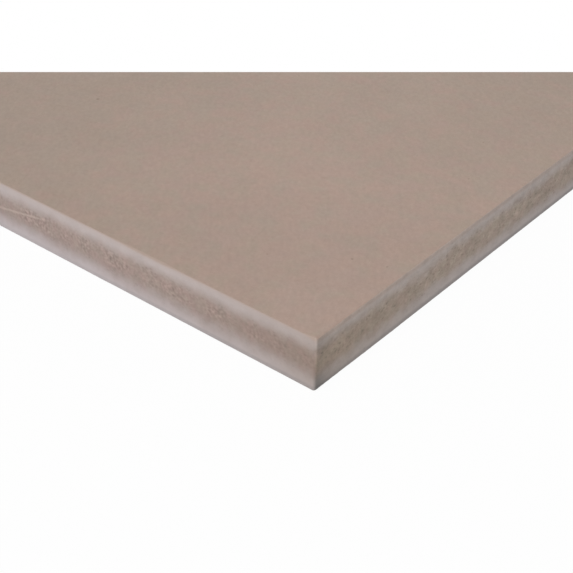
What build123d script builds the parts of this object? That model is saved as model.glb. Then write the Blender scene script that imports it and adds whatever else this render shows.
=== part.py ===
"""Natural fibre composite panel: one hot-pressed sheet with sanded faces and sawn edges.

Millimetres, +Z up. The sheet lies flat, with its origin at the middle of its lower face,
its length along X and its width along Y.
"""

import os

from build123d import *

# Driving dimensions: a quarter sheet, two feet by four, three quarters of an inch thick
LENGTH = 1220.0
WIDTH = 610.0
THICKNESS = 19.0

# Easing of the sawn edges by the saw and by handling
CORNER_RADIUS = 1.0  # the four upright corners
ARRIS_RADIUS = 0.4  # the arrises round the upper and lower faces


def sawn_blank():
    """The sheet as it leaves the saw: its outline with blunted corners, as deep as the panel."""
    outline = RectangleRounded(LENGTH, WIDTH, CORNER_RADIUS)
    return extrude(outline, THICKNESS)


def fibre_panel():
    """The finished sheet, with the arris round each face eased."""
    blank = sawn_blank()
    faces = blank.faces().sort_by(Axis.Z)
    arrises = faces[0].edges() + faces[-1].edges()
    return fillet(arrises, ARRIS_RADIUS)


os.makedirs("parts", exist_ok=True)
export_step(fibre_panel(), "parts/fibre_panel.step")
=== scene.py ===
"""Natural fibre composite panel, dressed for its picture.

One hot-pressed sheet lies flat on a pale floor, seen from above one corner. Its size and place come
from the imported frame, and this script gives it its sawn edges, its finishes, its light and its view.
Lengths are metres unless a name says otherwise.
"""

import logging
import math
from collections.abc import Sequence
from dataclasses import dataclass, field
from enum import Enum
from functools import cached_property

import bpy
import numpy as np
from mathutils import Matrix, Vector, noise
from mathutils.geometry import delaunay_2d_cdt

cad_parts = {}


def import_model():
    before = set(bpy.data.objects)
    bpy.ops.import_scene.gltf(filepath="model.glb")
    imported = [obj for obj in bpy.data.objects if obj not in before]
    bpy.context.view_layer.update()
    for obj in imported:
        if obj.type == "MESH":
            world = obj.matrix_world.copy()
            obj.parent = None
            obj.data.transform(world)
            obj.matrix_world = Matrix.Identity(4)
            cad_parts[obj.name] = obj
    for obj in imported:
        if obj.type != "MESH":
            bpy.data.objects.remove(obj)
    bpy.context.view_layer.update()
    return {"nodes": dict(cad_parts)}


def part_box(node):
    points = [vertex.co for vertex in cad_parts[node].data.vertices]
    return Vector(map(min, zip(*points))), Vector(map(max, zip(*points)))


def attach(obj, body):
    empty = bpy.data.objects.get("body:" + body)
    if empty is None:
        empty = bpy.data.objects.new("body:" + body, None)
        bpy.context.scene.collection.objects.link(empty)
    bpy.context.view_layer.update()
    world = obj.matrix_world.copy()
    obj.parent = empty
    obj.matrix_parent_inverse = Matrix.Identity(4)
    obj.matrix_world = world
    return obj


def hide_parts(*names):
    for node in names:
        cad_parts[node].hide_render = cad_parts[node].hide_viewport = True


LOG = logging.getLogger("fibre_panel")

MM = 0.001

Socket = bpy.types.NodeSocket
Feed = Socket | float | Sequence[float]
Colour = tuple[float, float, float, float]
Span = tuple[float, float]
Spot = tuple[float, float]

# Soft random values lie about one half, most of them within this span
COMMON: Span = (0.35, 0.65)
# The share of a speck's radius within which it has its full tone
FULL_MIDDLE = 0.3
# The share of a soiled layer's depth within which it has its full tone
FULL_LAYER = 0.4


def from_srgb(red: float, green: float, blue: float) -> Colour:
    """A colour as a screen shows it, from 0 to 255, turned into the linear values that shaders take.

    Args:
        red: The red value.
        green: The green value.
        blue: The blue value.

    Returns:
        The linear colour, opaque.
    """
    linear = []
    for value in (red, green, blue):
        share = value / 255
        linear.append(share / 12.92 if share <= 0.04045 else ((share + 0.055) / 1.055) ** 2.4)
    return (*linear, 1.0)


def fading(distance: float, reach: float) -> float:
    """Falls off like a bell, from 1 at no distance to about a third at its reach."""
    return math.exp(-((distance / reach) ** 2))


def swing(place: Vector, size: float, shift: Sequence[float] = (0, 0, 0)) -> float:
    """A soft random value about zero. It changes over one size, and the shift gives another draw."""
    return noise.noise(place / size + Vector(shift))


class Side(Enum):
    """The panel's four sawn edges, by the way that each one faces, in order round the sheet."""

    RIGHT = (1, 0)
    BACK = (0, 1)
    LEFT = (-1, 0)
    FRONT = (0, -1)


class Stuff(Enum):
    """The panel's two surfaces, by their place in its list of materials."""

    FACE = 0
    EDGE = 1


class Mark(Enum):
    """What the mesh tells the edge's finish of each point, as a number from 0 to 1."""

    PIT = "pit"
    SCRATCH = "scratch"
    END = "end"
    NEAR_CORNER = "handled"
    TIP_DARK = "smudge"
    RUBBED = "rubbed"
    LIP = "lip"


class Plot(Enum):
    """Where each part of the panel lies on the square map of its finishes: left, low, right and high."""

    UPPER_FACE = (0.005, 0.500, 0.995, 0.990)
    LOWER_FACE = (0.005, 0.200, 0.995, 0.480)
    BACK_STRIP = (0.005, 0.135, 0.995, 0.185)
    FRONT_STRIP = (0.005, 0.070, 0.995, 0.120)
    RIGHT_STRIP = (0.005, 0.005, 0.495, 0.055)
    LEFT_STRIP = (0.505, 0.005, 0.995, 0.055)

    def spot(self, shares: np.ndarray) -> np.ndarray:
        """Places on the map, from shares of this plot's width and height."""
        left, low, right, high = self.value
        return np.array((left, low)) + shares * np.array((right - left, high - low))


@dataclass(frozen=True)
class Curve:
    """A value that follows straight lines from stop to stop, and stays level beyond them."""

    stops: tuple[float, ...]
    heights: tuple[float, ...]

    def at(self, value: float) -> float:
        """The curve's height at a value."""
        return float(np.interp(value, self.stops, self.heights))


@dataclass(frozen=True)
class Pattern:
    """A soft random pattern for a finish.

    Attributes:
        size: How wide one patch is.
        detail: How many finer layers are added.
        rough: How strong those finer layers are.
        draw: How many sizes up the pattern is taken, which gives another draw of it.
    """

    size: float
    detail: float = 2.0
    rough: float = 0.5
    draw: int = 0


@dataclass(frozen=True)
class Scatter:
    """Scattered round specks for a finish.

    Attributes:
        spacing: How far apart the specks would be if none were left out.
        radius: How far a speck reaches from its middle.
        none: The share that is left out. The rest differ in strength.
        draw: How many spacings up the specks are taken, which gives another draw of them.
    """

    spacing: float
    radius: float
    none: float
    draw: int = 0


class Recipe:
    """A node tree in the making, with short calls for the nodes that the finishes share."""

    def __init__(self, tree: bpy.types.NodeTree) -> None:
        """Takes over a tree and empties it."""
        self.tree = tree
        tree.nodes.clear()

    def add(self, kind: str, feeds: dict[str, Feed] | None = None, **settings: object) -> bpy.types.Node:
        """Adds one node.

        Args:
            kind: The node's type.
            feeds: What goes into its sockets, by the sockets' identifiers.
            settings: Its own properties, by name.

        Returns:
            The new node.
        """
        node = self.tree.nodes.new(kind)
        for name, value in settings.items():
            setattr(node, name, value)
        sockets = {socket.identifier: socket for socket in node.inputs}
        for name, feed in (feeds or {}).items():
            if isinstance(feed, Socket):
                self.tree.links.new(feed, sockets[name])
            else:
                sockets[name].default_value = feed
        return node

    @cached_property
    def place(self) -> Socket:
        """The point's place on the object, in metres."""
        return self.add("ShaderNodeTexCoord").outputs["Object"]

    @cached_property
    def height(self) -> Socket:
        """The point's height above the object's origin, in metres."""
        return self.add("ShaderNodeSeparateXYZ", {"Vector": self.place}).outputs[2]

    def mark(self, mark: Mark) -> Socket:
        """A mark that the mesh carries, from 0 to 1."""
        return self.add("ShaderNodeAttribute", attribute_name=mark.value).outputs["Fac"]

    def stretch(self, at: Feed, along: Sequence[float]) -> Socket:
        """The place with its three directions scaled."""
        feeds = {"Vector": at, "Vector_001": along}
        return self.add("ShaderNodeVectorMath", feeds, operation="MULTIPLY").outputs[0]

    def lift(self, at: Feed, height: float) -> Socket:
        """The place moved up, which gives another draw of a random pattern."""
        feeds = {"Vector": at, "Vector_001": (0.0, 0.0, height)}
        return self.add("ShaderNodeVectorMath", feeds, operation="ADD").outputs[0]

    def turn(self, at: Feed, degrees: float) -> Socket:
        """The place turned about the upright direction."""
        feeds = {"Vector": at, "Angle": math.radians(degrees)}
        return self.add("ShaderNodeVectorRotate", feeds, rotation_type="Z_AXIS").outputs[0]

    def reckon(self, operation: str, *values: Feed) -> Socket:
        """One step of arithmetic on one to three values."""
        feeds = dict(zip(("Value", "Value_001", "Value_002"), values))
        return self.add("ShaderNodeMath", feeds, operation=operation).outputs[0]

    def product(self, first: Feed, *others: Feed) -> Feed:
        """Multiplies values.

        Args:
            first: The first value.
            others: What it is multiplied by, in turn.

        Returns:
            The product.
        """
        total = first
        for value in others:
            total = self.reckon("MULTIPLY", total, value)
        return total

    def rise(self, value: Feed, low: float, high: float) -> Socket:
        """Goes smoothly from 0 where the value is low to 1 where it is high."""
        feeds = {"Value": value, "From Min": low, "From Max": high}
        return self.add("ShaderNodeMapRange", feeds, interpolation_type="SMOOTHSTEP").outputs[0]

    def spread(self, value: Feed, low: Feed, high: Feed) -> Socket:
        """Runs evenly from low to high as the value goes from 0 to 1."""
        feeds = {"Value": value, "To Min": low, "To Max": high}
        return self.add("ShaderNodeMapRange", feeds).outputs[0]

    def grain(self, at: Feed, pattern: Pattern) -> Socket:
        """Soft random values about one half.

        Args:
            at: The place, stretched or not.
            pattern: The pattern that they follow.

        Returns:
            The values.
        """
        if pattern.draw:
            at = self.lift(at, pattern.draw * pattern.size)
        feeds = {"Scale": 1 / pattern.size, "Detail": pattern.detail, "Roughness": pattern.rough}
        return self.add("ShaderNodeTexNoise", {"Vector": at, **feeds}).outputs[0]

    def swing(self, at: Feed, pattern: Pattern) -> Socket:
        """Soft random values about zero."""
        return self.reckon("SUBTRACT", self.grain(at, pattern), 0.5)

    def patches(self, at: Feed, pattern: Pattern) -> Socket:
        """Patches of 0 and of 1 that run softly into each other."""
        return self.rise(self.grain(at, pattern), *COMMON)

    def about_half(self, *parts: tuple[Feed, float]) -> Feed:
        """Adds up random values, each with its weight, so that the sum stays about one half.

        Args:
            parts: Each value about one half, and its weight.

        Returns:
            The sum.
        """
        total: Feed = 0.5 - sum(weight for _, weight in parts) / 2
        for value, weight in parts:
            total = self.reckon("MULTIPLY_ADD", value, weight, total)
        return total

    def specks(self, at: Feed, scatter: Scatter) -> Socket:
        """Scattered round specks.

        Args:
            at: The place, stretched or not.
            scatter: How the specks lie.

        Returns:
            Up to 1 in the middle of a speck, and 0 away from one.
        """
        if scatter.draw:
            at = self.lift(at, scatter.draw * scatter.spacing)
        cells = self.add("ShaderNodeTexVoronoi", {"Vector": at, "Scale": 1 / scatter.spacing})
        reach = scatter.radius / scatter.spacing
        near = self.rise(cells.outputs["Distance"], reach, reach * FULL_MIDDLE)
        chance = self.add("ShaderNodeSeparateColor", {"Color": cells.outputs["Color"]}).outputs[0]
        return self.product(near, self.rise(chance, scatter.none, 1.0))

    def blend(self, share: Feed, first: Feed, second: Feed, way: str = "MIX") -> Socket:
        """A colour that goes from the first to the second as the share goes from 0 to 1."""
        feeds = {"Factor_Float": share, "A_Color": first, "B_Color": second}
        return self.add("ShaderNodeMix", feeds, data_type="RGBA", blend_type=way).outputs[2]

    def tint(self, share: Feed, colour: Feed, tint: Feed) -> Socket:
        """A colour multiplied by a tint, as far as the share says."""
        return self.blend(share, colour, tint, "MULTIPLY")

    def dim(self, colour: Feed, level: Feed) -> Socket:
        """A colour made lighter or darker by a level."""
        grey = self.add("ShaderNodeCombineColor", {"Red": level, "Green": level, "Blue": level})
        return self.tint(1.0, colour, grey.outputs[0])

    def relief(self, height: Feed, depth: float, strength: float) -> Socket:
        """A surface normal that follows fine height differences."""
        feeds = {"Height": height, "Distance": depth, "Strength": strength}
        return self.add("ShaderNodeBump", feeds).outputs[0]

    def surface(self, feeds: dict[str, Feed]) -> None:
        """Ends the recipe with one surface shader."""
        shader = self.add("ShaderNodeBsdfPrincipled", feeds)
        self.add("ShaderNodeOutputMaterial", {"Surface": shader.outputs[0]})


def new_material(name: str) -> tuple[bpy.types.Material, Recipe]:
    """Starts a material.

    Args:
        name: The material's name.

    Returns:
        The material and its empty recipe.
    """
    material = bpy.data.materials.new(name)
    material.use_nodes = True
    return material, Recipe(material.node_tree)


@dataclass(frozen=True)
class SandedFace:
    """Finish of the two pressed faces: felted fine fibre, sanded along the sheet.

    The corner is the front right one, seen from above. The chips' places are given from it.
    """

    corner: Spot
    name: str = "sanded_face"

    # Colours, and tints that multiply them
    rosy: Colour = from_srgb(172, 149, 137)
    sallow: Colour = from_srgb(168, 150, 136.5)
    warm: Colour = (1.007, 1.0, 0.993, 1.0)
    cool: Colour = (0.993, 1.0, 1.007, 1.0)
    bark_tint: Colour = (0.72, 0.70, 0.68, 1.0)
    blush: Pattern = Pattern(9 * MM, 3.0, 0.6)
    # Broad warmth: random tone, and partly painted shade, since its draw turns the face sallow and greyer
    # where light falls off
    warmth_and_painted_shade: Pattern = Pattern(180 * MM, 0.0, draw=1490)
    warmth_and_painted_shade_weight: float = 0.55
    stain: Pattern = Pattern(8 * MM, draw=50)

    # Light and dark, each pattern with its weight; the drift is partly painted shade
    tone_range: float = 0.40
    fibre: Pattern = Pattern(0.28 * MM, 1.0)
    fibre_length: float = 2.4 * MM
    fibre_angles: tuple[float, ...] = (12.0, 71.0, 134.0)
    fibre_weight: float = 0.10
    sanding: Pattern = Pattern(0.9 * MM)
    sanding_length: float = 90 * MM
    sanding_weight: float = 0.04
    felt: Pattern = Pattern(1.3 * MM, 1.0)
    felt_stretch: float = 1.75
    felt_angle: float = 50.0
    felt_weight: float = 0.20
    clouds: Pattern = Pattern(38 * MM, 3.0, 0.55)
    cloud_weight: float = 0.22
    # Slow drift: random tone, and partly painted shade, since its draw darkens the face where light falls
    # off
    drift: Pattern = Pattern(240 * MM, 1.0, draw=2469)
    drift_and_painted_shade_weight: float = 0.34

    # Dark bits of bark: scattered specks, and single chips with their radius
    bark: Scatter = Scatter(11 * MM, 0.5 * MM, 0.55, draw=7)
    chips: tuple[tuple[float, float, float], ...] = (
        (-17.7 * MM, 40.1 * MM, 0.55 * MM),
        (-165.0 * MM, 67.7 * MM, 0.9 * MM),
    )

    # Gloss, duller between the fibres than on them, and fine relief
    roughness: Span = (0.68, 0.52)
    shine: float = 0.35
    fibre_depth: float = 0.03 * MM
    sanding_relief: float = 0.6
    relief_strength: float = 0.5

    def fibres(self, recipe: Recipe) -> Feed:
        """Short fibres that lie every way in the plane of the sheet.

        Args:
            recipe: The face's recipe.

        Returns:
            A value about one half, higher on a fibre.
        """
        thin = self.fibre.size / self.fibre_length
        layers = []
        for angle in self.fibre_angles:
            lying = recipe.stretch(recipe.turn(recipe.place, angle), (thin, 1, 1))
            layers.append((recipe.grain(lying, self.fibre), 1.0))
        return recipe.about_half(*layers)

    def ground(self, recipe: Recipe) -> Socket:
        """The face's colour, which drifts between a rosy and a sallow one. The broad warmth layer is partly
        painted shade: it turns the face sallow where light falls off.

        Args:
            recipe: The face's recipe.

        Returns:
            The colour.
        """
        blush = recipe.grain(recipe.place, self.blush)
        # Partly painted shade: sallow where light falls off
        warmth_and_painted_shade = recipe.grain(recipe.place, self.warmth_and_painted_shade)
        hue = recipe.rise(recipe.about_half((blush, 1.0), (warmth_and_painted_shade, self.warmth_and_painted_shade_weight)), *COMMON)
        stain = recipe.blend(recipe.patches(recipe.place, self.stain), self.cool, self.warm)
        return recipe.tint(1.0, recipe.blend(hue, self.sallow, self.rosy), stain)

    def barky(self, recipe: Recipe) -> Socket:
        """Specks and chips of bark, which go through both faces.

        Args:
            recipe: The face's recipe.

        Returns:
            Up to 1 in the middle of a piece of bark, and 0 away from one.
        """
        found = recipe.specks(recipe.place, self.bark)
        seen_from_above = recipe.stretch(recipe.place, (1, 1, 0))
        for x, y, radius in self.chips:
            feeds = {"Vector": seen_from_above, "Vector_001": (self.corner[0] + x, self.corner[1] + y, 0.0)}
            gap = recipe.add("ShaderNodeVectorMath", feeds, operation="DISTANCE").outputs["Value"]
            found = recipe.reckon("MAXIMUM", found, recipe.rise(gap, radius, radius * FULL_MIDDLE))
        return found

    def material(self) -> bpy.types.Material:
        """Mixes the face's colour, gloss and fine relief.

        Returns:
            The finished material.
        """
        material, recipe = new_material(self.name)
        at = recipe.place
        fibres = self.fibres(recipe)
        along = self.sanding.size / self.sanding_length
        sanding = recipe.grain(recipe.stretch(at, (along, 1, 1)), self.sanding)
        combed = recipe.stretch(recipe.turn(at, self.felt_angle), (1 / self.felt_stretch, 1, 1))
        tone = recipe.about_half(
            (fibres, self.fibre_weight),
            (sanding, self.sanding_weight),
            (recipe.grain(combed, self.felt), self.felt_weight),
            (recipe.grain(at, self.clouds), self.cloud_weight),
            # The drift layer partly paints shade where light falls off
            (recipe.grain(at, self.drift), self.drift_and_painted_shade_weight),
        )
        level = recipe.spread(tone, 1 - self.tone_range, 1 + self.tone_range)
        colour = recipe.tint(self.barky(recipe), recipe.dim(self.ground(recipe), level), self.bark_tint)
        height = recipe.about_half((fibres, 1.0), (sanding, self.sanding_relief))
        recipe.surface({
            "Base Color": colour,
            "Roughness": recipe.spread(fibres, *self.roughness),
            "Specular IOR Level": self.shine,
            "Normal": recipe.relief(height, self.fibre_depth, self.relief_strength),
        })
        return material


@dataclass(frozen=True)
class SawnEdge:
    """Finish of the four edges: a coarse open core between two dense, pale, burnished bands.

    A name that ends in by_end gives the value on the two long sides and then on the two ends. A name
    that ends in rows gives heights as shares of the thickness.
    """

    thickness: float
    name: str = "sawn_edge"

    # Colours of the pressed mat, and tints that multiply them
    core: Colour = from_srgb(164.5, 146, 140)
    band: Colour = from_srgb(190, 178, 176)
    end_core: Colour = from_srgb(166, 151, 141)
    end_band: Colour = from_srgb(176, 165, 161)
    rosy: Colour = (1.02, 0.99, 0.97, 1.0)
    olive: Colour = (0.98, 1.00, 0.96, 1.0)
    hues: Pattern = Pattern(3.2 * MM)

    # Where core and bands meet: near the corners the upper band is thinner and the lower one softer, and
    # the ends tear
    band_span: Span = (0.18, 0.88)
    upper_thinning: float = -0.075
    softening_near_corner: Span = (0.10, 0.30)
    lower_slopes: Span = (-1.0, -0.825)
    lower_start: float = 0.143
    end_lower_slope: float = -1.16
    wavers: tuple[tuple[Pattern, float], ...] = (
        (Pattern(70 * MM, 0.0), 0.20),
        (Pattern(14 * MM, 1.0), 0.34),
        (Pattern(2.6 * MM, 2.0, 0.6), 0.26),
    )
    tears: Pattern = Pattern(6 * MM, 1.0)
    tear_strength: float = 0.35

    # The open grain of the core, flattened by the press
    flattening: tuple[float, float, float] = (1, 1, 1.5)
    flecks: Pattern = Pattern(0.9 * MM, 2.0, 0.65)
    fleck_weight: float = 0.42
    clumps: Pattern = Pattern(4.5 * MM, 1.0)
    clump_weight: float = 0.30
    blots: Pattern = Pattern(3 * MM, 1.0)
    blot_strength: float = 0.25
    grain_by_end: Span = (0.6, 1.5)
    closing_by_end: Span = (-0.70, -0.45)
    open_rows: Span = (0.30, 0.50)
    open_below: float = 0.6

    # Slow changes along the edge
    blotch: Pattern = Pattern(6 * MM, draw=500)
    blotch_strength: float = 0.16
    drift: Pattern = Pattern(180 * MM, 0.0, draw=110)
    drift_levels: Span = (0.79, 1.19)

    # Cut fibre ends that dot the core of the long sides in patches
    dots: Pattern = Pattern(1.1 * MM, 0.5)
    dots_by_end: Span = (1.0, 0.0)
    dots_near_corner: float = 0.35
    dot_rows: Span = (0.34, 0.50)
    dots_below: float = 0.3
    dot_fade: Span = (0.45, 0.0)
    dot_patches: Pattern = Pattern(9 * MM, 0.0)
    dot_patch_levels: Span = (0.4, 1.2)

    # Dark specks and holes, and painted shade in the sunken pores
    specks: Scatter = Scatter(1.9 * MM, 0.85 * MM, 0.30)
    specks_by_end: Span = (-0.15, -0.26)
    speck_fade: Span = (0.60, 0.20)
    holes: Scatter = Scatter(5.0 * MM, 0.75 * MM, 0.45)
    holes_by_end: Span = (-0.10, -0.35)
    pore_shade_level: float = 0.80

    # Chalky dust low down, painted shade near the corners, a darker and browner strip under the upper face,
    # and a hem at it
    chalk: Colour = (0.985, 1.005, 1.05, 1.0)
    chalk_rows: Span = (0.50, 0.25)
    chalk_by_end: Span = (1.0, 0.45)
    chalk_near_corner: float = 0.5
    # Painted shade near the corners, in place of the sheen that makes the sawn edges lighter farther from
    # them
    painted_corner_shade: Colour = (0.80, 0.77, 0.72, 1.0)
    # Darker and browner just under the upper face, most on the ends
    top_darkening: Colour = (0.945, 0.88, 0.825, 1.0)
    top_darkening_depth: float = 2.4 * MM
    top_darkening_by_end: Span = (0.4, 1.0)
    hem: Colour = from_srgb(169, 148.5, 136.5)
    hem_by_end: Span = (1.0, 0.0)

    # A painted shadow along the foot, a darker low tip on each end, the rubbed corner and the scratch
    # Painted shadow along the foot of the edge, bluish grey
    foot_shadow: Colour = (0.60, 0.635, 0.65, 1.0)
    foot_shadow_height: float = 2.1 * MM
    foot_shadow_reach_by_end: Span = (1.0, 0.82)
    foot_shadow_near_corner: Span = (0.05, 0.35)
    foot_shadow_shares: Span = (0.20, 0.45)
    foot_shadow_on_end: float = 0.25
    # Darker and greyer at the low tip of each end, next to the long sides
    tip_dark_tint: Colour = (0.50, 0.53, 0.55, 1.0)
    rub: Colour = (1.24, 1.235, 1.22, 1.0)
    scuff: Colour = from_srgb(194, 175, 165)

    # Gloss, from the core to the bands, and fine relief
    roughness: Span = (0.70, 0.45)
    end_roughness: float = 0.2
    shine: float = 0.5
    grain_depth: float = 0.12 * MM
    relief_strength: float = 0.6

    def depth_share(self, recipe: Recipe) -> Socket:
        """How near a point is to either face, with the waver that a pressed mat has.

        Args:
            recipe: The edge's recipe.

        Returns:
            0 in the middle of the thickness and 1 at the faces.
        """
        at, end, handled = recipe.place, recipe.mark(Mark.END), recipe.mark(Mark.NEAR_CORNER)
        centred = recipe.reckon("MULTIPLY_ADD", recipe.height, 2 / self.thickness, -1.0)
        above = recipe.reckon("MULTIPLY_ADD", handled, self.upper_thinning, centred)
        soft = recipe.rise(handled, *self.softening_near_corner)
        slope = recipe.spread(end, recipe.spread(soft, *self.lower_slopes), self.end_lower_slope)
        start = recipe.spread(end, recipe.spread(soft, 0.0, self.lower_start), 0.0)
        below = recipe.reckon("MULTIPLY_ADD", centred, slope, start)
        share = recipe.reckon("MAXIMUM", above, below)
        waver = recipe.about_half(*((recipe.grain(at, pattern), weight) for pattern, weight in self.wavers))
        wavered = recipe.reckon("ADD", share, recipe.reckon("SUBTRACT", waver, 0.5))
        tears = recipe.swing(recipe.stretch(at, self.flattening), self.tears)
        return recipe.reckon("MULTIPLY_ADD", tears, recipe.product(end, self.tear_strength), wavered)

    def ground(self, recipe: Recipe, band: Feed) -> Socket:
        """The mat's own colour, paler in the bands.

        Args:
            recipe: The edge's recipe.
            band: 0 in the core and 1 in the bands.

        Returns:
            The colour.
        """
        end = recipe.mark(Mark.END)
        hues = recipe.blend(recipe.patches(recipe.place, self.hues), self.olive, self.rosy)
        core = recipe.tint(1.0, recipe.blend(end, self.core, self.end_core), hues)
        return recipe.blend(band, core, recipe.blend(end, self.band, self.end_band))

    def upward(self, recipe: Recipe, rows: Span, least: float) -> Socket:
        """Goes from the least below the rows to 1 above them."""
        low, high = (share * self.thickness for share in rows)
        return recipe.spread(recipe.rise(recipe.height, low, high), least, 1.0)

    def openness(self, recipe: Recipe, band: Feed) -> Feed:
        """How open the grain is: most in the core, above its lower part.

        Args:
            recipe: The edge's recipe.
            band: 0 in the core and 1 in the bands.

        Returns:
            1 where it is most open.
        """
        closed = recipe.product(band, recipe.spread(recipe.mark(Mark.END), *self.closing_by_end))
        upper = self.upward(recipe, self.open_rows, self.open_below)
        return recipe.product(recipe.reckon("ADD", closed, 1.0), upper)

    def mottle(self, recipe: Recipe, flecks: Feed, openness: Feed) -> Socket:
        """Light and dark of the grain, on top of the slow changes along the edge.

        Args:
            recipe: The edge's recipe.
            flecks: The finest grain, about one half.
            openness: How open the grain is.

        Returns:
            A level about 1.
        """
        at, end = recipe.place, recipe.mark(Mark.END)
        flat = recipe.stretch(at, self.flattening)
        clumps = recipe.grain(flat, self.clumps)
        tone = recipe.about_half((flecks, self.fleck_weight), (clumps, self.clump_weight))
        blots = recipe.product(recipe.swing(flat, self.blots), end)
        blotted = recipe.reckon("MULTIPLY_ADD", blots, self.blot_strength, tone)
        grain = recipe.product(recipe.reckon("SUBTRACT", blotted, 0.5), openness)
        drift = recipe.spread(recipe.grain(at, self.drift), *self.drift_levels)
        slow = recipe.reckon("MULTIPLY_ADD", recipe.swing(at, self.blotch), self.blotch_strength, drift)
        return recipe.reckon("MULTIPLY_ADD", grain, recipe.spread(end, *self.grain_by_end), slow)

    def dotting(self, recipe: Recipe, band: Feed) -> Feed:
        """Light and dark of the cut fibre ends.

        Args:
            recipe: The edge's recipe.
            band: 0 in the core and 1 in the bands.

        Returns:
            A level about 0.
        """
        patches = recipe.patches(recipe.place, self.dot_patches)
        return recipe.product(
            recipe.swing(recipe.place, self.dots),
            recipe.spread(recipe.mark(Mark.END), *self.dots_by_end),
            recipe.spread(recipe.mark(Mark.NEAR_CORNER), 1.0, self.dots_near_corner),
            self.upward(recipe, self.dot_rows, self.dots_below),
            recipe.rise(band, *self.dot_fade),
            recipe.spread(patches, *self.dot_patch_levels),
        )

    def piercing(self, recipe: Recipe, band: Feed, openness: Feed) -> Feed:
        """How much specks and holes darken a point, with painted shade in the sunken pores.

        Args:
            recipe: The edge's recipe.
            band: 0 in the core and 1 in the bands.
            openness: How open the grain is.

        Returns:
            1 where there are none, and less in the middle of one.
        """
        end, flat = recipe.mark(Mark.END), recipe.stretch(recipe.place, self.flattening)
        crisp = recipe.product(
            self.upward(recipe, self.open_rows, self.open_below),
            recipe.rise(band, *self.speck_fade),
            recipe.spread(end, *self.specks_by_end),
        )
        deep = recipe.product(openness, recipe.spread(end, *self.holes_by_end))
        return recipe.product(
            recipe.reckon("MULTIPLY_ADD", recipe.specks(flat, self.specks), crisp, 1.0),
            recipe.reckon("MULTIPLY_ADD", recipe.specks(flat, self.holes), deep, 1.0),
            # Painted shade: darker where the mesh's pores are sunk
            recipe.spread(recipe.mark(Mark.PIT), 1.0, self.pore_shade_level),
        )

    def aged(self, recipe: Recipe, colour: Feed) -> Socket:
        """Lays on dust, the painted shade near the corners, and a darker strip and the hem at the upper
        face.

        Args:
            recipe: The edge's recipe.
            colour: The edge as it was sawn.

        Returns:
            The colour with those.
        """
        end, handled = recipe.mark(Mark.END), recipe.mark(Mark.NEAR_CORNER)
        low = recipe.rise(recipe.height, *(share * self.thickness for share in self.chalk_rows))
        far_from_corner = recipe.spread(handled, 1.0, self.chalk_near_corner)
        dusty = recipe.product(low, recipe.spread(end, *self.chalk_by_end), far_from_corner)
        top_darkening_from = self.thickness - self.top_darkening_depth
        top = recipe.rise(recipe.height, top_darkening_from, self.thickness - self.top_darkening_depth * FULL_LAYER)
        top_darkened = recipe.product(top, recipe.spread(end, *self.top_darkening_by_end))
        hemmed = recipe.product(recipe.mark(Mark.LIP), recipe.spread(end, *self.hem_by_end))
        colour = recipe.tint(dusty, colour, self.chalk)
        # Painted shade: darker and browner near the sheet's corners, in place of the sheen farther off
        colour = recipe.tint(handled, colour, self.painted_corner_shade)
        # Darker and browner just under the upper face, most on the ends
        colour = recipe.tint(top_darkened, colour, self.top_darkening)
        return recipe.blend(hemmed, colour, self.hem)

    def marked(self, recipe: Recipe, colour: Feed) -> Socket:
        """Lays on the painted shadow along the foot, the darker low tip of the ends, the rubbed corner and
        the scratch.

        Args:
            recipe: The edge's recipe.
            colour: The edge without those.

        Returns:
            The edge's final colour.
        """
        end, handled = recipe.mark(Mark.END), recipe.mark(Mark.NEAR_CORNER)
        # Painted shadow: a bluish grey darkening along the foot, deepest on the ends and near the corners
        foot_level = recipe.product(recipe.height, recipe.spread(end, *self.foot_shadow_reach_by_end))
        foot = recipe.rise(foot_level, self.foot_shadow_height, self.foot_shadow_height * FULL_LAYER)
        foot_weight = recipe.reckon("MAXIMUM", end, recipe.rise(handled, *self.foot_shadow_near_corner))
        foot_shadow_share = recipe.spread(foot_weight, *self.foot_shadow_shares)
        foot_shadow_share = recipe.reckon("MULTIPLY_ADD", end, self.foot_shadow_on_end, foot_shadow_share)
        colour = recipe.tint(recipe.product(foot, foot_shadow_share), colour, self.foot_shadow)
        # Darker and greyer at the low tip of each end
        colour = recipe.tint(recipe.mark(Mark.TIP_DARK), colour, self.tip_dark_tint)
        colour = recipe.tint(recipe.mark(Mark.RUBBED), colour, self.rub)
        return recipe.blend(recipe.mark(Mark.SCRATCH), colour, self.scuff)

    def material(self) -> bpy.types.Material:
        """Mixes the edge's colour, gloss and fine relief.

        Returns:
            The finished material.
        """
        material, recipe = new_material(self.name)
        band = recipe.rise(self.depth_share(recipe), *self.band_span)
        openness = self.openness(recipe, band)
        flecks = recipe.grain(recipe.stretch(recipe.place, self.flattening), self.flecks)
        mottle = self.mottle(recipe, flecks, openness)
        dotted = recipe.reckon("ADD", mottle, self.dotting(recipe, band))
        level = recipe.product(dotted, self.piercing(recipe, band, openness))
        sawn = recipe.dim(self.ground(recipe, band), level)
        dull = recipe.product(recipe.mark(Mark.END), self.end_roughness)
        bumps = recipe.product(flecks, openness)
        recipe.surface({
            "Base Color": self.marked(recipe, self.aged(recipe, sawn)),
            "Roughness": recipe.reckon("ADD", dull, recipe.spread(band, *self.roughness)),
            "Specular IOR Level": self.shine,
            "Normal": recipe.relief(bumps, self.grain_depth, self.relief_strength),
        })
        return material


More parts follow.
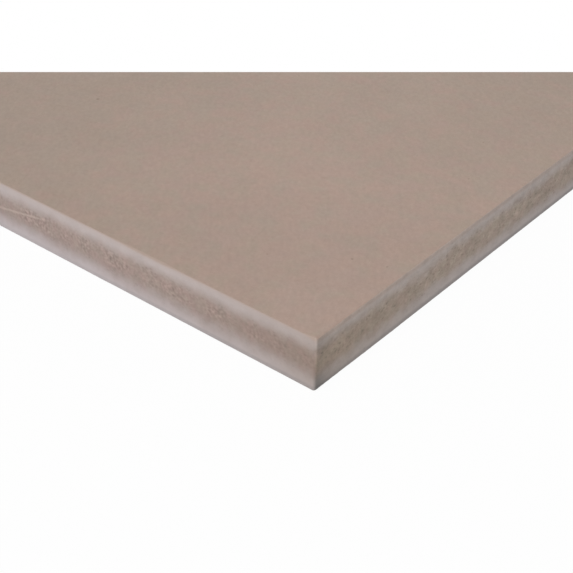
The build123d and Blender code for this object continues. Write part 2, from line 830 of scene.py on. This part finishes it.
@dataclass
class PressedPanel:
    """The sheet: two flat faces and a sawn rim with open pores, eased arrises, marks of wear and painted
    shade.

    Places of single marks along an edge are given from the front right corner. A curve by height takes
    shares of the thickness, and one by facing takes how squarely a point looks along the sheet.
    """

    node: str = "fibre_panel"
    name: str = "pressed_panel"
    map_name: str = "OFBake"

    # The rim's outline and rows, with fine cells near the corner that the picture shows
    corner_radius: float = 1.0 * MM
    corner_steps: int = 6
    arris_steps: int = 3
    rows: int = 36
    fine_cell: float = 0.36 * MM
    coarse_cell: float = 5.0 * MM
    fine_reach: float = 165 * MM
    easing_reach: float = 90 * MM

    # The faces' inner points, and how near two points of a face may be before they are one
    face_rings: tuple[float, ...] = (2 * MM, 6 * MM, 18 * MM)
    face_cell: float = 40 * MM
    merge_mm: float = 1e-5

    # Pores and sawn fuzz of the core
    core_by_depth: Curve = Curve((0.45, 0.85), (1.0, 0.0))
    pore_size: float = 1.05 * MM
    pore_flatten: float = 1.6
    pore_radius: float = 0.42
    pore_share: float = 0.20
    pore_depth: float = 0.26 * MM
    pore_draw: float = 5.3
    pore_shift: tuple[int, int, int] = (11, 5, 2)
    fuzz_size: float = 0.7 * MM
    fuzz_depth: float = 0.05 * MM
    fuzz_in_bands: float = 0.25

    # The arrises: their radius, its waver, and where knocks and wear have rounded them
    arris_radius: float = 0.4 * MM
    most_easing: float = 0.9 * MM
    lower_easing_by_facing: Curve = Curve((0.0, 1.0), (0.4, 1.0))
    slow_waver: float = 0.25
    slow_size: float = 9 * MM
    fine_waver: float = 0.2
    fine_size: float = 1.6 * MM
    fine_shift: tuple[int, int, int] = (7, 3, 1)
    dents: float = 1.6
    dent_size: float = 21 * MM
    dent_shift: tuple[int, int, int] = (2, 9, 4)
    dent_from: float = 0.45
    knock: float = 1.2
    knock_reach: float = 22 * MM
    tip_knock: float = 1.6
    tip_knock_reach: float = 2.5 * MM
    worn_by: float = 1.05
    worn_spot: float = -66 * MM
    worn_reach: float = 14 * MM
    face_creep: float = 1.2
    lip_shares: tuple[float, ...] = (0.04, 0.14, 0.38, 0.75, 1.0)
    worn_lip_shares: tuple[float, ...] = (0.04, 0.16, 0.30, 0.95, 1.0)

    # Marks along the rim, among them painted shade near the corners
    near_corner_reach: float = 60 * MM
    near_corner_by_height: Curve = Curve((0.0, 0.12, 0.70, 0.93), (0.7, 1.0, 1.0, 0.62))
    tip_dark_reach: float = 6 * MM
    tip_dark_by_height: Curve = Curve((0.15, 0.38), (1.0, 0.3))
    end_from_by_height: Curve = Curve((0.3, 0.8), (0.55, 0.82))
    end_full_by_height: Curve = Curve((0.3, 0.8), (0.85, 1.0))
    rub_by_facing: Curve = Curve((0.3, 0.65, 0.93, 1.0), (0.0, 1.0, 0.9, 0.0))
    rub_by_height: Curve = Curve((0.4, 0.6), (0.0, 1.0))
    scratch_from: Spot = (-149 * MM, 7.6 * MM)
    scratch_to: Spot = (-107 * MM, 14.9 * MM)
    scratch_width: float = 0.5 * MM
    scratch_bow: float = -0.4 * MM
    scratch_strength: Curve = Curve((0.0, 0.2, 0.55, 0.7, 1.0), (0.7, 1.0, 1.0, 0.35, 0.0))

    low: Vector = field(init=False)
    high: Vector = field(init=False)
    thickness: float = field(init=False)

    def __post_init__(self) -> None:
        """Takes the sheet's size and place from the frame."""
        self.low, self.high = (Vector(corner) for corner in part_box(self.node))
        self.thickness = self.high.z - self.low.z

    def from_ends(self, place: Vector) -> float:
        """How far a place is from the nearer end."""
        return min(place.x - self.low.x, self.high.x - place.x)

    def from_sides(self, place: Vector) -> float:
        """How far a place is from the nearer long side."""
        return min(place.y - self.low.y, self.high.y - place.y)

    def height_share(self, place: Vector) -> float:
        """0 at the lower face and 1 at the upper one."""
        return (place.z - self.low.z) / self.thickness

    def by_reach(self, near: float, far: float) -> Curve:
        """A curve from what is near the corner that the picture shows to what is far from it."""
        return Curve((self.fine_reach, self.fine_reach + self.easing_reach), (near, far))

    def stops(self, start: float, length: float, round_trip: float) -> np.ndarray:
        """Places along one straight side, close together near the corner that the picture shows.

        Args:
            start: How far round the sheet the side starts, from that corner.
            length: The side's length.
            round_trip: The whole way round.

        Returns:
            Distances along the side, from 0, without its end.
        """
        cell = self.by_reach(self.fine_cell, self.coarse_cell)
        found = [0.0]
        while found[-1] < length:
            way = start + found[-1]
            found.append(found[-1] + cell.at(min(way, round_trip - way)))
        return np.array(found[:-1]) * (length / found[-1])

    def outline(self) -> tuple[np.ndarray, np.ndarray, np.ndarray]:
        """Walks once round the sheet, from the front right corner, past the right side first.

        Returns:
            For each station its base point, its outward direction and the number of its side.
        """
        right, back = self.high.x - self.corner_radius, self.high.y - self.corner_radius
        left, front = self.low.x + self.corner_radius, self.low.y + self.corner_radius
        centres = [Vector(c) for c in ((right, front), (right, back), (left, back), (left, front))]
        lengths = [(centres[(k + 1) % 4] - centres[k]).length for k in range(4)]
        bases, outward, sides = [], [], []
        way = 0.0
        for k, side in enumerate(Side):
            heading = (centres[(k + 1) % 4] - centres[k]).normalized()
            for stop in self.stops(way, lengths[k], sum(lengths)):
                bases.append(centres[k] + heading * stop)
                outward.append(Vector(side.value))
                sides.append(k)
            first = math.atan2(side.value[1], side.value[0])
            for step in range(self.corner_steps):
                angle = first + math.pi / 2 * step / self.corner_steps
                bases.append(centres[(k + 1) % 4])
                outward.append(Vector((math.cos(angle), math.sin(angle))))
                sides.append(k)
            way += lengths[k]
        return np.array(bases), np.array(outward), np.array(sides)

    def easing(self, place: Vector, facing: Vector) -> float:
        """How far the saw and handling have rounded the arris here.

        Args:
            place: The place on the arris.
            facing: The way that the edge faces there.

        Returns:
            The arris's radius, which is largest at an upper corner and where the arris has been knocked.
        """
        slow = self.slow_waver * swing(place, self.slow_size)
        fine = self.fine_waver * swing(place, self.fine_size, self.fine_shift)
        dent = self.dents * max(0.0, swing(place, self.dent_size, self.dent_shift) - self.dent_from)
        knocked = self.knock * abs(facing.x) * fading(self.from_sides(place), self.knock_reach)
        if self.height_share(place) > 0.5:
            from_tip = max(self.from_ends(place), self.from_sides(place))
            knocked += self.tip_knock * fading(from_tip, self.tip_knock_reach)
            from_spot = place.x - self.high.x - self.worn_spot
            knocked += self.worn_by * max(0.0, -facing.y) * fading(from_spot, self.worn_reach)
        return min(self.arris_radius * (1 + slow + fine + dent) * (1 + knocked), self.most_easing)

    def wear(self, radius: float) -> float:
        """How worn an upper arris of this radius is, from 0 to 1."""
        return Curve((self.arris_radius, self.most_easing), (0.0, 1.0)).at(radius)

    def turns(self, radius: float) -> np.ndarray:
        """The angles of an arris's rows. The rounder it is, the more of it is left to the face."""
        shares = np.linspace(0, 1, self.arris_steps + 1)
        return math.pi / 2 * shares ** (1 + self.face_creep * self.wear(radius))

    def profile(self, lower: float, upper: float) -> list[Spot]:
        """An upright section through the rim, from the lower face to the upper one.

        Args:
            lower: The lower arris's radius.
            upper: The upper arris's radius.

        Returns:
            For each row how far it lies inside the edge's plane, and how high.
        """
        fresh = self.turns(self.arris_radius)
        found = [(lower * (1 - math.sin(turn)), lower * (1 - math.cos(turn))) for turn in fresh]
        straight = self.thickness - lower - upper
        found += [(0.0, lower + straight * row / self.rows) for row in range(1, self.rows)]
        for turn in self.turns(upper):
            found.append((upper * (1 - math.cos(turn)), self.thickness - upper * (1 - math.sin(turn))))
        return found

    def pore(self, place: Vector) -> float:
        """How deep a point lies in an open pore of the core.

        Args:
            place: The point's place.

        Returns:
            0 outside every pore and up to 1 in the middle of one.
        """
        scaled = Vector((place.x, place.y, place.z * self.pore_flatten)) / self.pore_size
        distances, points = noise.voronoi(scaled)
        depth = 0.0
        for distance, point in zip(distances[:2], points[:2]):
            if noise.cell(point * self.pore_draw + Vector(self.pore_shift)) > 1 - 2 * self.pore_share:
                depth = max(depth, 1 - distance / self.pore_radius)
        return depth

    def fuzz(self, place: Vector, core: float) -> float:
        """How far the saw has torn a point, from 0 to 1, less in the bands than in the core."""
        most = self.fuzz_in_bands + (1 - self.fuzz_in_bands) * core
        return most * (0.5 + 0.5 * swing(place, self.fuzz_size))

    def handled(self, place: Vector) -> float:
        """How strongly an edge is painted darker here, in place of the sheen farther off, which is most at
        the sheet's corners.
        """
        away = max(self.from_ends(place), self.from_sides(place))
        return math.exp(-away / self.near_corner_reach) * self.near_corner_by_height.at(self.height_share(place))

    def tip_darkened(self, place: Vector, facing: Vector) -> float:
        """How much darker and greyer the low tip of an end is, from 0 to 1."""
        near = fading(self.from_sides(place), self.tip_dark_reach)
        return abs(facing.x) * near * self.tip_dark_by_height.at(self.height_share(place))

    def on_end(self, place: Vector, facing: Vector) -> float:
        """How much a point belongs to an end. Round the corner this starts later near the top.

        Args:
            place: The point's place.
            facing: The way that the edge faces there.

        Returns:
            0 on a long side and 1 on an end.
        """
        share = self.height_share(place)
        span = (self.end_from_by_height.at(share), self.end_full_by_height.at(share))
        return Curve(span, (0.0, 1.0)).at(abs(facing.x))

    def rubbed(self, place: Vector, facing: Vector) -> float:
        """How much the upright corner is rubbed pale, in its upper half, from 0 to 1."""
        return self.rub_by_facing.at(abs(facing.x)) * self.rub_by_height.at(self.height_share(place))

    def scratched(self, place: Vector, number: int) -> float:
        """How much of the pale scratch on the front edge covers a point.

        Args:
            place: The point's place.
            number: The number of its side.

        Returns:
            Up to 1 in the middle of the scratch, and 0 away from it.
        """
        if list(Side)[number] is not Side.FRONT:
            return 0.0
        start = Vector((self.high.x + self.scratch_from[0], self.low.z + self.scratch_from[1]))
        way = Vector((self.high.x + self.scratch_to[0], self.low.z + self.scratch_to[1])) - start
        point = Vector((place.x, place.z)) - start
        share = point.dot(way) / way.length_squared
        if not 0 <= share <= 1:
            return 0.0
        bow = self.scratch_bow * math.sin(math.pi * share)
        gap = abs(way.cross(point) / way.length - bow)
        return max(0.0, 1 - gap / self.scratch_width) * self.scratch_strength.at(share)

    def rim(self) -> tuple[np.ndarray, dict[Mark, np.ndarray], np.ndarray]:
        """Shapes the sawn rim, row by row from the lower face to the upper one.

        Returns:
            The points by row and station, their marks, and the number of each station's side.
        """
        bases, outward, sides = self.outline()
        shape = (2 * (self.arris_steps + 1) + self.rows - 1, len(bases))
        points = np.zeros((*shape, 3))
        marks = {mark: np.zeros(shape) for mark in Mark}
        fresh, worn = np.array(self.lip_shares), np.array(self.worn_lip_shares)
        fineness = self.by_reach(1.0, 0.0)
        for k in range(len(bases)):
            way = Vector((*outward[k], 0.0))
            skin = Vector((*bases[k], self.low.z)) + way * self.corner_radius
            fine = fineness.at(abs(self.high.x - skin.x) + abs(skin.y - self.low.y))
            lower = self.easing(skin, way) * self.lower_easing_by_facing.at(abs(way.x))
            upper = self.easing(skin + Vector((0, 0, self.thickness)), way)
            marks[Mark.LIP][-len(fresh):, k] = fresh + (worn - fresh) * self.wear(upper)
            for row, (inset, level) in enumerate(self.profile(lower, upper)):
                place = skin + Vector((0, 0, level))
                core = self.core_by_depth.at(abs(2 * level / self.thickness - 1))
                pit = self.pore(place) * core * fine
                torn = self.fuzz(place, core) * fine if inset == 0.0 else 0.0
                sunk = self.pore_depth * pit + self.fuzz_depth * torn
                points[row, k] = place - way * (inset + sunk)
                marks[Mark.PIT][row, k] = pit
                marks[Mark.SCRATCH][row, k] = self.scratched(place, sides[k])
                marks[Mark.END][row, k] = self.on_end(place, way)
                marks[Mark.NEAR_CORNER][row, k] = self.handled(place)
                marks[Mark.TIP_DARK][row, k] = self.tip_darkened(place, way)
                marks[Mark.RUBBED][row, k] = self.rubbed(place, way)
        return points, marks, sides

    def face_points(self) -> list[Vector]:
        """Points inside the outline of a face: rings that grow coarser inwards, then an even grid.

        Returns:
            Their places in the plane of the sheet.
        """
        found = []
        for inset in (*self.face_rings, self.face_cell):
            across = self.high.x - self.low.x - 2 * inset
            along = self.high.y - self.low.y - 2 * inset
            columns, lines = round(across / inset), round(along / inset)
            for i in range(columns + 1):
                for j in range(lines + 1):
                    on_ring = i in (0, columns) or j in (0, lines)
                    if on_ring or inset == self.face_cell:
                        x = self.low.x + inset + across * i / columns
                        y = self.low.y + inset + along * j / lines
                        found.append(Vector((x, y)))
        return found

    def flat_face(self, loop: np.ndarray, inner: list[Vector]) -> list[tuple[int, int, int]]:
        """Fills a face with triangles.

        Args:
            loop: The rim's points round the face.
            inner: The points inside it.

        Returns:
            Triangles that turn left seen from above, by number in the loop and then the inner points.
        """
        coordinates = [Vector(p[:2]) / MM for p in loop] + [p / MM for p in inner]
        ring = [(k, (k + 1) % len(loop)) for k in range(len(loop))]
        inside = 1
        places, _, triangles, sources, *_ = delaunay_2d_cdt(coordinates, ring, [], inside, self.merge_mm)
        faces = []
        for a, b, c in triangles:
            if (places[b] - places[a]).cross(places[c] - places[a]) <= 0:
                b, c = c, b
            faces.append((sources[a][0], sources[b][0], sources[c][0]))
        return faces

    def mesh(self) -> bpy.types.Mesh:
        """Joins the rim and the two faces into one closed mesh with its marks.

        Returns:
            The mesh.
        """
        points, marks, sides = self.rim()
        height, count = points.shape[:2]
        inner = self.face_points()
        vertices = points.reshape(-1, 3).tolist()
        faces = []
        for row in range(height - 1):
            low, high = row * count, (row + 1) * count
            for k in range(count):
                after = (k + 1) % count
                faces.append((low + k, low + after, high + after, high + k))
        for row, level, upward in ((0, self.low.z, False), (height - 1, self.high.z, True)):
            numbers = list(range(row * count, (row + 1) * count))
            numbers += range(len(vertices), len(vertices) + len(inner))
            vertices += [(p.x, p.y, level) for p in inner]
            for a, b, c in self.flat_face(points[row], inner):
                corners = (a, b, c) if upward else (c, b, a)
                faces.append(tuple(numbers[n] for n in corners))
        mesh = bpy.data.meshes.new(self.name)
        mesh.from_pydata(vertices, [], faces)
        # The uppermost row of the rim belongs to the edge on the long sides and to the face on the ends
        stuff = np.full(len(faces), Stuff.FACE.value, dtype=np.int32)
        sawn = np.ones((height - 1, count), dtype=bool)
        sawn[-1] = marks[Mark.END][-1] < 0.5
        stuff[: sawn.size][sawn.ravel()] = Stuff.EDGE.value
        mesh.polygons.foreach_set("material_index", stuff)
        mesh.polygons.foreach_set("use_smooth", np.ones(len(faces), dtype=bool))
        for mark, values in marks.items():
            carried = np.zeros(len(vertices), dtype=np.float32)
            carried[: values.size] = values.ravel()
            mesh.attributes.new(mark.value, "FLOAT", "POINT").data.foreach_set("value", carried)
        self.crease(mesh, count, height)
        self.lay_out(mesh, points, sides)
        mesh.update()
        return mesh

    def crease(self, mesh: bpy.types.Mesh, count: int, height: int) -> None:
        """Keeps the flat faces flat in shading, where the rounded arris begins.

        Args:
            mesh: The panel's mesh.
            count: The number of stations round the rim.
            height: The number of rows of the rim.
        """
        ends = np.empty(len(mesh.edges) * 2, dtype=np.int32)
        mesh.edges.foreach_get("vertices", ends)
        rows = ends.reshape(-1, 2) // count
        same = (rows[:, 0] == rows[:, 1]) & np.isin(rows[:, 0], (0, height - 1))
        mesh.attributes.new("sharp_edge", "BOOLEAN", "EDGE").data.foreach_set("value", same)

    def lay_out(self, mesh: bpy.types.Mesh, points: np.ndarray, sides: np.ndarray) -> None:
        """Lays the two faces and the four sides of the rim out flat, for a map of the finishes.

        Args:
            mesh: The panel's mesh, with the rim's faces first, then the lower face and the upper one.
            points: The rim's points by row and station.
            sides: The number of each station's side.
        """
        height, count = points.shape[:2]
        skin = points[height // 2]
        steps = np.linalg.norm(np.roll(skin, -1, axis=0) - skin, axis=1)
        rows = np.arange(height) / (height - 1)
        spots = np.zeros((len(mesh.loops), 2))
        first = 4 * (height - 1) * count
        quads = spots[:first].reshape(height - 1, count, 4, 2)
        plots = (Plot.RIGHT_STRIP, Plot.BACK_STRIP, Plot.LEFT_STRIP, Plot.FRONT_STRIP)
        for number, plot in enumerate(plots):
            own = np.flatnonzero(sides == number)
            ends = np.cumsum(steps[own])
            along = np.stack((ends - steps[own], ends, ends, ends - steps[own]), axis=-1) / ends[-1]
            up = np.stack((rows[:-1], rows[:-1], rows[1:], rows[1:]), axis=-1)
            shape = (height - 1, len(own), 4)
            shares = np.stack((np.broadcast_to(along, shape), np.broadcast_to(up[:, None], shape)), axis=-1)
            quads[:, own] = plot.spot(shares)

        corners = np.empty(len(mesh.loops), dtype=np.int32)
        mesh.loops.foreach_get("vertex_index", corners)
        places = np.empty(3 * len(mesh.vertices))
        mesh.vertices.foreach_get("co", places)
        size = self.high - self.low
        plan = (places.reshape(-1, 3) - np.array(self.low))[:, :2] / np.array((size.x, size.y))
        middle = (first + len(mesh.loops)) // 2
        spots[first:middle] = Plot.LOWER_FACE.spot(plan[corners[first:middle]])
        spots[middle:] = Plot.UPPER_FACE.spot(plan[corners[middle:]])
        mesh.uv_layers.new(name=self.map_name).uv.foreach_set("vector", spots.ravel())

    def build(self) -> bpy.types.Object:
        """Makes the sheet, dresses it and puts it in the frame.

        Returns:
            The panel's object.
        """
        mesh = self.mesh()
        mesh.materials.append(SandedFace((self.high.x, self.low.y)).material())
        mesh.materials.append(SawnEdge(self.thickness).material())
        panel = bpy.data.objects.new(self.name, mesh)
        bpy.context.collection.objects.link(panel)
        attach(panel, "root")
        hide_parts(self.node)
        return panel


@dataclass(frozen=True)
class Lamp:
    """One soft square lamp."""

    name: str
    place: tuple[float, float, float]
    aim: tuple[float, float, float]
    width: float
    watts: float

    def build(self) -> bpy.types.Object:
        """Hangs the lamp and turns it to its aim.

        Returns:
            The lamp's object.
        """
        data = bpy.data.lights.new(self.name, "AREA")
        data.size = self.width
        data.energy = self.watts
        lamp = bpy.data.objects.new(self.name, data)
        lamp.location = self.place
        lamp.rotation_euler = (Vector(self.aim) - Vector(self.place)).to_track_quat("-Z", "Y").to_euler()
        bpy.context.collection.objects.link(lamp)
        return lamp


@dataclass
class Studio:
    """The pale floor, the even light of the room and one large soft lamp overhead."""

    floor_half: float = 4.0
    floor_drop: float = 0.2 * MM
    floor_colour: Colour = (0.90, 0.90, 0.90, 1.0)
    floor_white: float = 0.95
    fade_span: Span = (1.0, 3.0)
    room_light: float = 0.45
    white: Colour = (1.0, 1.0, 1.0, 1.0)
    key: Lamp = Lamp("key_lamp", (0.88, -1.29, 1.70), (0.55, -0.25, 0.0), 1.5, 23.0)

    def seen(self, recipe: Recipe) -> Socket:
        """Tells what is seen straight, mirrored or through glass from light that only falls.

        Args:
            recipe: The recipe of what is seen.

        Returns:
            1 for what is seen, and 0 for light that falls.
        """
        rays = recipe.add("ShaderNodeLightPath").outputs
        straight = recipe.reckon("MAXIMUM", rays["Is Camera Ray"], rays["Is Glossy Ray"])
        return recipe.reckon("MAXIMUM", straight, rays["Is Transmission Ray"])

    def light_room(self) -> None:
        """Fills the room with even light in front of a white backdrop."""
        world = bpy.data.worlds.new("studio_room")
        world.use_nodes = True
        bpy.context.scene.world = world
        recipe = Recipe(world.node_tree)
        falls = recipe.add("ShaderNodeBackground", {"Color": self.white, "Strength": self.room_light})
        shows = recipe.add("ShaderNodeBackground", {"Color": self.white, "Strength": 1.0})
        feeds = {"Fac": self.seen(recipe), "Shader": falls.outputs[0], "Shader_001": shows.outputs[0]}
        mixed = recipe.add("ShaderNodeMixShader", feeds)
        recipe.add("ShaderNodeOutputWorld", {"Surface": mixed.outputs[0]})

    def floor_material(self) -> bpy.types.Material:
        """A matt floor that shows nearly white, keeps a faint shadow and fades into the white backdrop.

        Returns:
            The material.
        """
        material, recipe = new_material("pale_floor")
        matt = recipe.add("ShaderNodeBsdfDiffuse", {"Color": self.floor_colour})
        glow = recipe.add("ShaderNodeEmission", {"Color": self.white, "Strength": 1.0})
        distance = recipe.add("ShaderNodeVectorMath", {"Vector": recipe.place}, operation="LENGTH")
        away = recipe.rise(distance.outputs["Value"], *self.fade_span)
        share = recipe.product(self.seen(recipe), recipe.spread(away, self.floor_white, 1.0))
        feeds = {"Fac": share, "Shader": matt.outputs[0], "Shader_001": glow.outputs[0]}
        mixed = recipe.add("ShaderNodeMixShader", feeds)
        recipe.add("ShaderNodeOutputMaterial", {"Surface": mixed.outputs[0]})
        return material

    def lay_floor(self, level: float) -> bpy.types.Object:
        """Lays the floor just under the object.

        Args:
            level: The height of the object's lowest point.

        Returns:
            The floor's object.
        """
        reach, z = self.floor_half, level - self.floor_drop
        corners = [(-reach, -reach, z), (reach, -reach, z), (reach, reach, z), (-reach, reach, z)]
        mesh = bpy.data.meshes.new("pale_floor")
        mesh.from_pydata(corners, [], [(0, 1, 2, 3)])
        mesh.materials.append(self.floor_material())
        floor = bpy.data.objects.new("pale_floor", mesh)
        bpy.context.collection.objects.link(floor)
        return floor

    def build(self, level: float) -> None:
        """Sets up the floor, the room and the lamp.

        Args:
            level: The height of the object's lowest point.
        """
        self.lay_floor(level)
        self.light_room()
        self.key.build()


@dataclass
class PictureCamera:
    """The view of the photograph: down on the sheet's front right corner. Angles are in degrees."""

    image_size: float = 573.0
    focal_pixels: float = 1161.5
    sensor_mm: float = 36.0
    pitch: float = 34.48
    heading: float = 39.96
    from_corner: tuple[float, float, float] = (162.40 * MM, -206.86 * MM, 198.97 * MM)
    top_row: float = 72.0
    near: float = 10 * MM

    def far_limit(self) -> float:
        """How deep the view goes on the sheet's upper face.

        Returns:
            The depth at the highest row of the picture that holds the sheet.
        """
        above = (self.image_size / 2 - self.top_row) / self.focal_pixels
        pitch = math.radians(self.pitch)
        return self.from_corner[2] / (math.sin(pitch) - math.cos(pitch) * above)

    def build(self, corner: Vector) -> bpy.types.Object:
        """Places the camera and makes it the scene's own.

        Args:
            corner: The sheet's front right upper corner.

        Returns:
            The camera's object.
        """
        data = bpy.data.cameras.new("picture_camera")
        data.sensor_width = self.sensor_mm
        data.lens = self.sensor_mm * self.focal_pixels / self.image_size
        data.clip_start = self.near
        data.clip_end = self.far_limit()
        camera = bpy.data.objects.new("picture_camera", data)
        camera.location = corner + Vector(self.from_corner)
        camera.rotation_euler = (math.radians(90 - self.pitch), 0.0, math.radians(self.heading))
        bpy.context.collection.objects.link(camera)
        bpy.context.scene.camera = camera
        return camera


def main() -> None:
    """Builds the panel, the studio and the camera in order, and reports each piece."""
    logging.basicConfig(level=logging.INFO, format="%(name)s: %(message)s")
    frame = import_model()
    LOG.info("frame: %d node", len(frame["nodes"]))
    bpy.context.scene.view_settings.view_transform = "Standard"

    sheet = PressedPanel()
    panel = sheet.build()
    panel.data.calc_loop_triangles()
    LOG.info("%s: %d triangles", panel.name, len(panel.data.loop_triangles))

    Studio().build(sheet.low.z)
    LOG.info("studio: floor, room and lamp")
    camera = PictureCamera().build(Vector((sheet.high.x, sheet.low.y, sheet.high.z)))
    LOG.info("%s: lens %.1f mm, view ends %.3f m away", camera.name, camera.data.lens, camera.data.clip_end)


if __name__ == "__main__":
    main()
